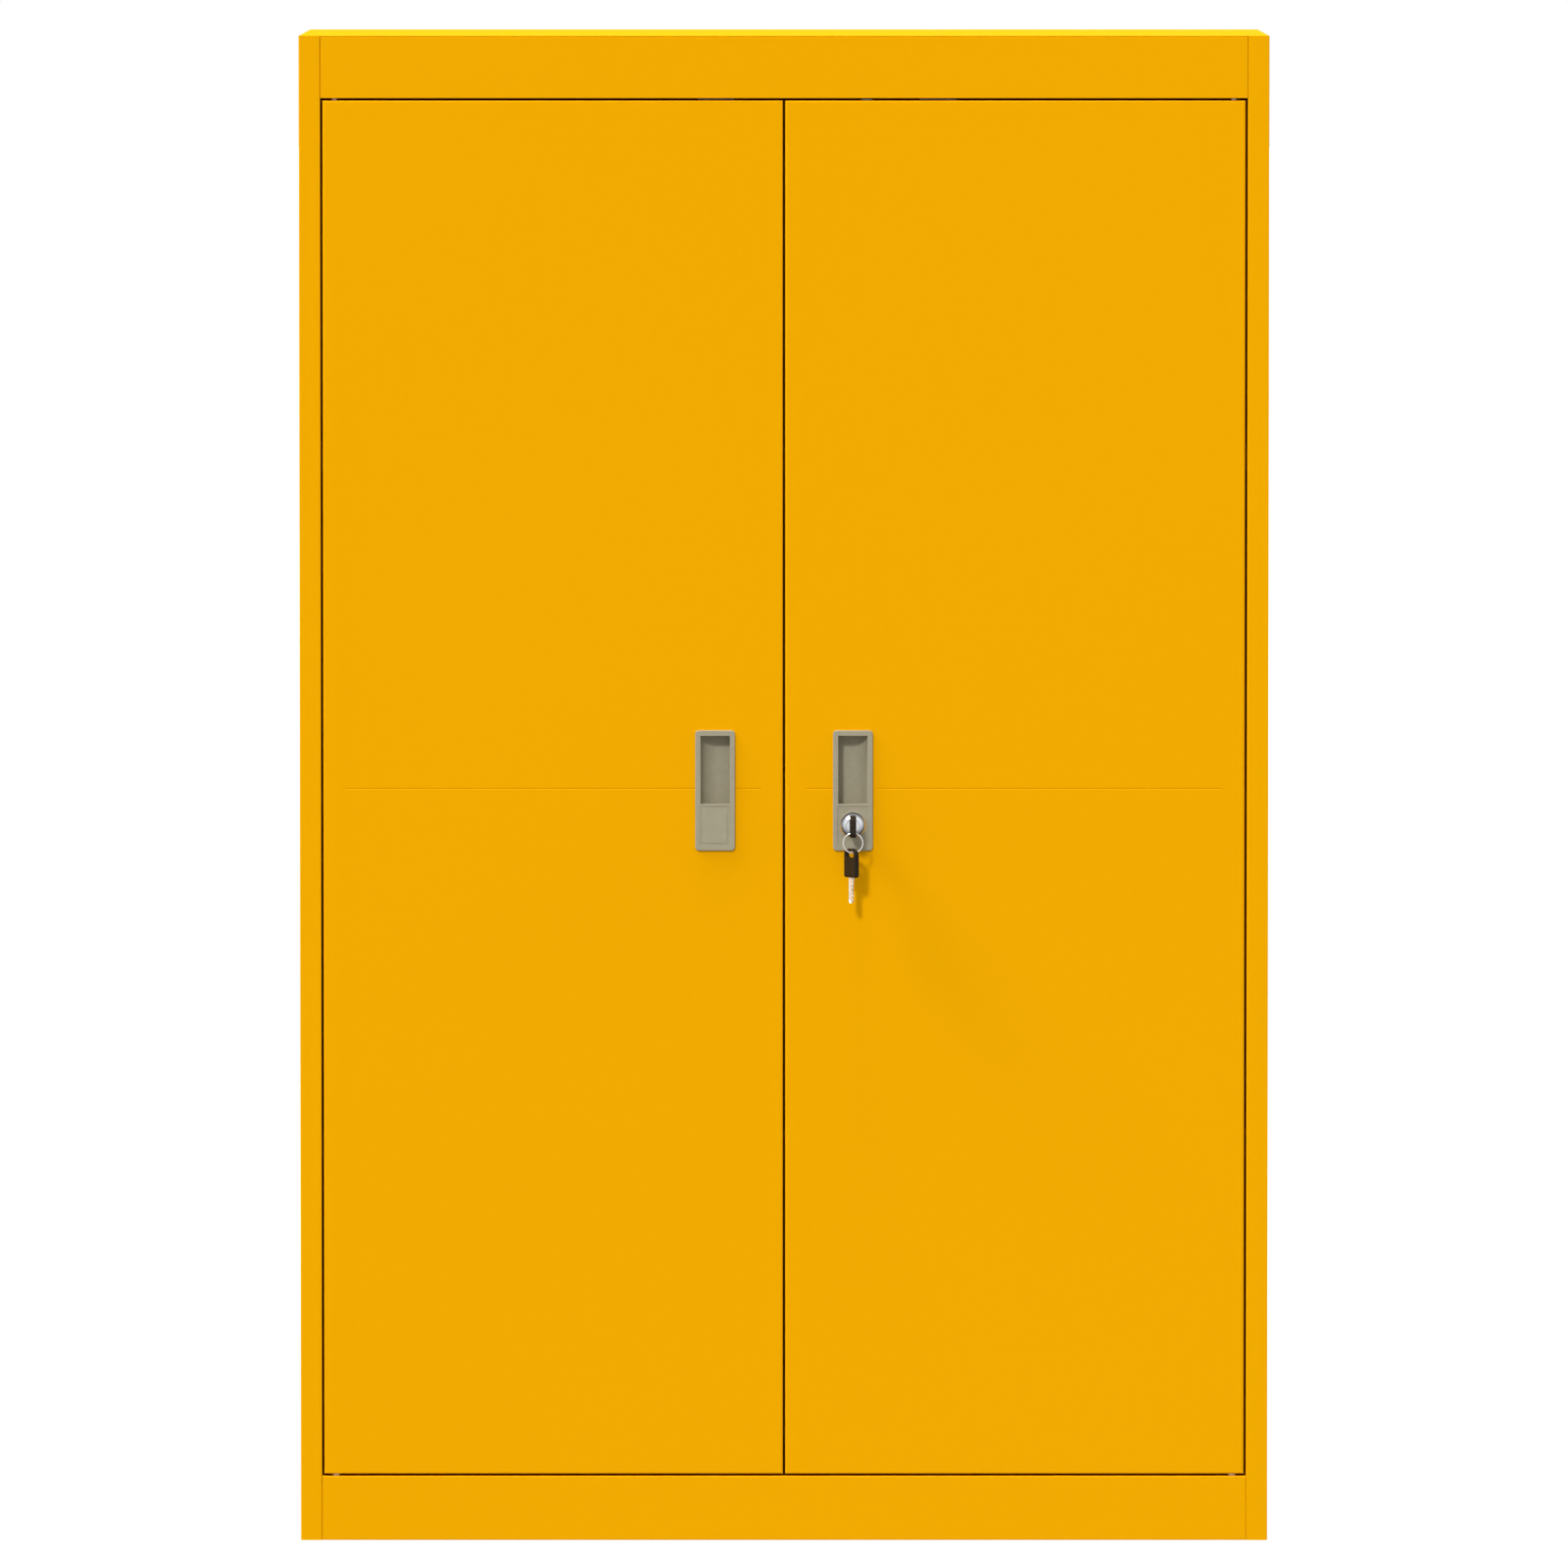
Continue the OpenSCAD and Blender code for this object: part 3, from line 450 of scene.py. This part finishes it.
def blades():
    """The blade in the lock, and the spare key's, which hangs."""
    bow_end, spare_bow_end = -8.1, -21.5
    in_lock = Matrix(((0, 0, 1), (1, 0, 0), (0, 1, 0))).to_4x4()
    blade("key_shank", "key_blade", Matrix.Translation(LOCK + mm(0, bow_end, 0)) @ in_lock)
    hanging = Matrix(((0, -1, 0), (0, 0, 1), (-1, 0, 0))).to_4x4()
    hung = SPARE @ Matrix.Translation(mm(SPARE_OFF, 0, spare_bow_end)) @ hanging
    blade("spare_shank", "spare_blade", hung)


def split_ring():
    """Split ring: two turns of flattened spring wire side by side, which cross over near the top."""
    wide, thick, lift, steps, sides, end_size = 0.60, 0.31, 0.32, 200, 12, 0.55
    first, sweep, crossing = math.radians(70), math.radians(690), math.radians(50)
    made = bmesh.new()
    loops = []
    for k in range(steps + 1):
        turn = first + sweep * k / steps
        shift = max(0.0, min(1.0, 0.5 + (turn - first - 0.5 * sweep) / crossing))
        shift = shift * shift * (3 - 2 * shift)
        out = Vector((math.cos(turn), 0, math.sin(turn)))
        centre = RING + out * RING_R * MM + mm(0, lift * (2 * shift - 1), 0)
        size = (end_size if k in (0, steps) else 1.0) * MM
        round_wire = [2 * math.pi * j / sides for j in range(sides)]
        loops.append([
            made.verts.new(centre + (out * math.cos(a) * wide + Vector((0, math.sin(a) * thick, 0))) * size)
            for a in round_wire
        ])
    skin(made, loops)
    made.faces.new(loops[0])
    made.faces.new(loops[-1])
    piece("split_ring", made, "key_ring")


handles()
lock_dome()
bows()
blades()
split_ring()


# Floor, lights and camera


def stage():
    """A matt floor that glows a little, so that it shows white with the object's shadow on it."""
    half_size, below = 60, 0.2
    made = bmesh.new()
    bmesh.ops.create_grid(made, x_segments=4, y_segments=4, size=half_size)
    mesh = bpy.data.meshes.new("floor")
    made.to_mesh(mesh)
    made.free()
    floor = bpy.data.objects.new("floor", mesh)
    bpy.context.scene.collection.objects.link(floor)
    floor.location.z = -below * MM
    s = Shader("floor")
    s.set(
        Base_Color=(0.26, 0.26, 0.26, 1),
        Roughness=0.9,
        Specular_IOR_Level=0.0,
        Emission_Color=(1, 1, 1, 1),
        Emission_Strength=0.90,
    )
    mesh.materials.append(s.material)
    floor.visible_diffuse = False
    floor.visible_glossy = False


def sun(name, travel, strength, softness, glossy=False):
    """A sun that shines along travel, softness degrees wide."""
    light = bpy.data.lights.new(name, "SUN")
    light.energy = strength
    light.angle = math.radians(softness)
    obj = bpy.data.objects.new(name, light)
    obj.rotation_mode = "QUATERNION"
    obj.rotation_quaternion = Vector(travel).to_track_quat("-Z", "Y")
    obj.visible_glossy = glossy
    bpy.context.scene.collection.objects.link(obj)


def surroundings():
    """White behind the object, an even fill, and for gloss a bright front and two softboxes."""
    fill = (0.515, 0.515, 0.515, 1)
    world = bpy.data.worlds.new("studio")
    bpy.context.scene.world = world
    world.use_nodes = True
    tree = world.node_tree
    tree.nodes.clear()
    new, link = tree.nodes.new, tree.links.new

    def level(value, from_low, from_high, low, high):
        made = new("ShaderNodeMapRange")
        made.interpolation_type = "SMOOTHSTEP"
        link(value, made.inputs["Value"])
        ends = {"From Min": from_low, "From Max": from_high, "To Min": low, "To Max": high}
        for key, number in ends.items():
            made.inputs[key].default_value = number
        return made.outputs["Result"]

    def join(operation, a, b):
        made = new("ShaderNodeMath")
        made.operation = operation
        link(a, made.inputs[0])
        link(b, made.inputs[1])
        return made.outputs[0]

    def background(colour):
        made = new("ShaderNodeBackground")
        if isinstance(colour, tuple):
            made.inputs["Color"].default_value = colour
        else:
            link(colour, made.inputs["Color"])
        return made.outputs[0]

    direction = new("ShaderNodeTexCoord").outputs["Generated"]
    split = new("ShaderNodeSeparateXYZ")
    link(direction, split.inputs[0])
    rise = level(split.outputs["Z"], -0.8, 0.4, 0.25, 1.10)
    front = level(split.outputs["Y"], -0.98, 0.15, 1.0, 0.02)
    room = join("MULTIPLY", rise, front)
    softboxes = (((-0.42, -0.58, 0.70), 0.955, 0.975, 1.8), ((-0.94, 0.34, 0.0), 0.90, 0.97, 2.2))
    for way, inner, outer, strength in softboxes:
        lamp = new("ShaderNodeVectorMath")
        lamp.operation = "DOT_PRODUCT"
        link(direction, lamp.inputs[0])
        lamp.inputs[1].default_value = Vector(way).normalized()
        room = join("ADD", room, level(lamp.outputs["Value"], inner, outer, 0.0, strength))

    path = new("ShaderNodeLightPath")
    shown = background(fill)
    for ray, other in (("Is Glossy Ray", background(room)), ("Is Camera Ray", background((1, 1, 1, 1)))):
        mixed = new("ShaderNodeMixShader")
        link(path.outputs[ray], mixed.inputs["Fac"])
        link(shown, mixed.inputs[1])
        link(other, mixed.inputs[2])
        shown = mixed.outputs[0]
    link(shown, new("ShaderNodeOutputWorld").inputs["Surface"])


def camera():
    """A long lens from far in front and a little above the top, tilted down."""
    data = bpy.data.cameras.new("camera")
    data.lens = CAMERA_LENS
    data.sensor_width = SENSOR
    data.clip_start, data.clip_end = 0.5, 300
    obj = bpy.data.objects.new("camera", data)
    obj.location = (0, CAMERA_Y, CAMERA_Z)
    obj.rotation_euler = (math.pi / 2 - CAMERA_TILT, 0, 0)
    bpy.context.scene.collection.objects.link(obj)
    bpy.context.scene.camera = obj


stage()
sun("key", (0.33, 1.0, -0.67), 1.5, 7, glossy=True)
sun("overhead", (0.05, 0.01, -1.0), 2.7, 12)
sun("slant", (0.62, 0.09, -0.78), 2.6, 18)
sun("side", (-1.0, 0.02, -0.25), 0.8, 15)
sun("back", (-0.25, -1.0, -0.30), 0.9, 15)
surroundings()
camera()
bpy.context.scene.view_settings.view_transform = "Standard"
bpy.context.scene.view_settings.look = "None"
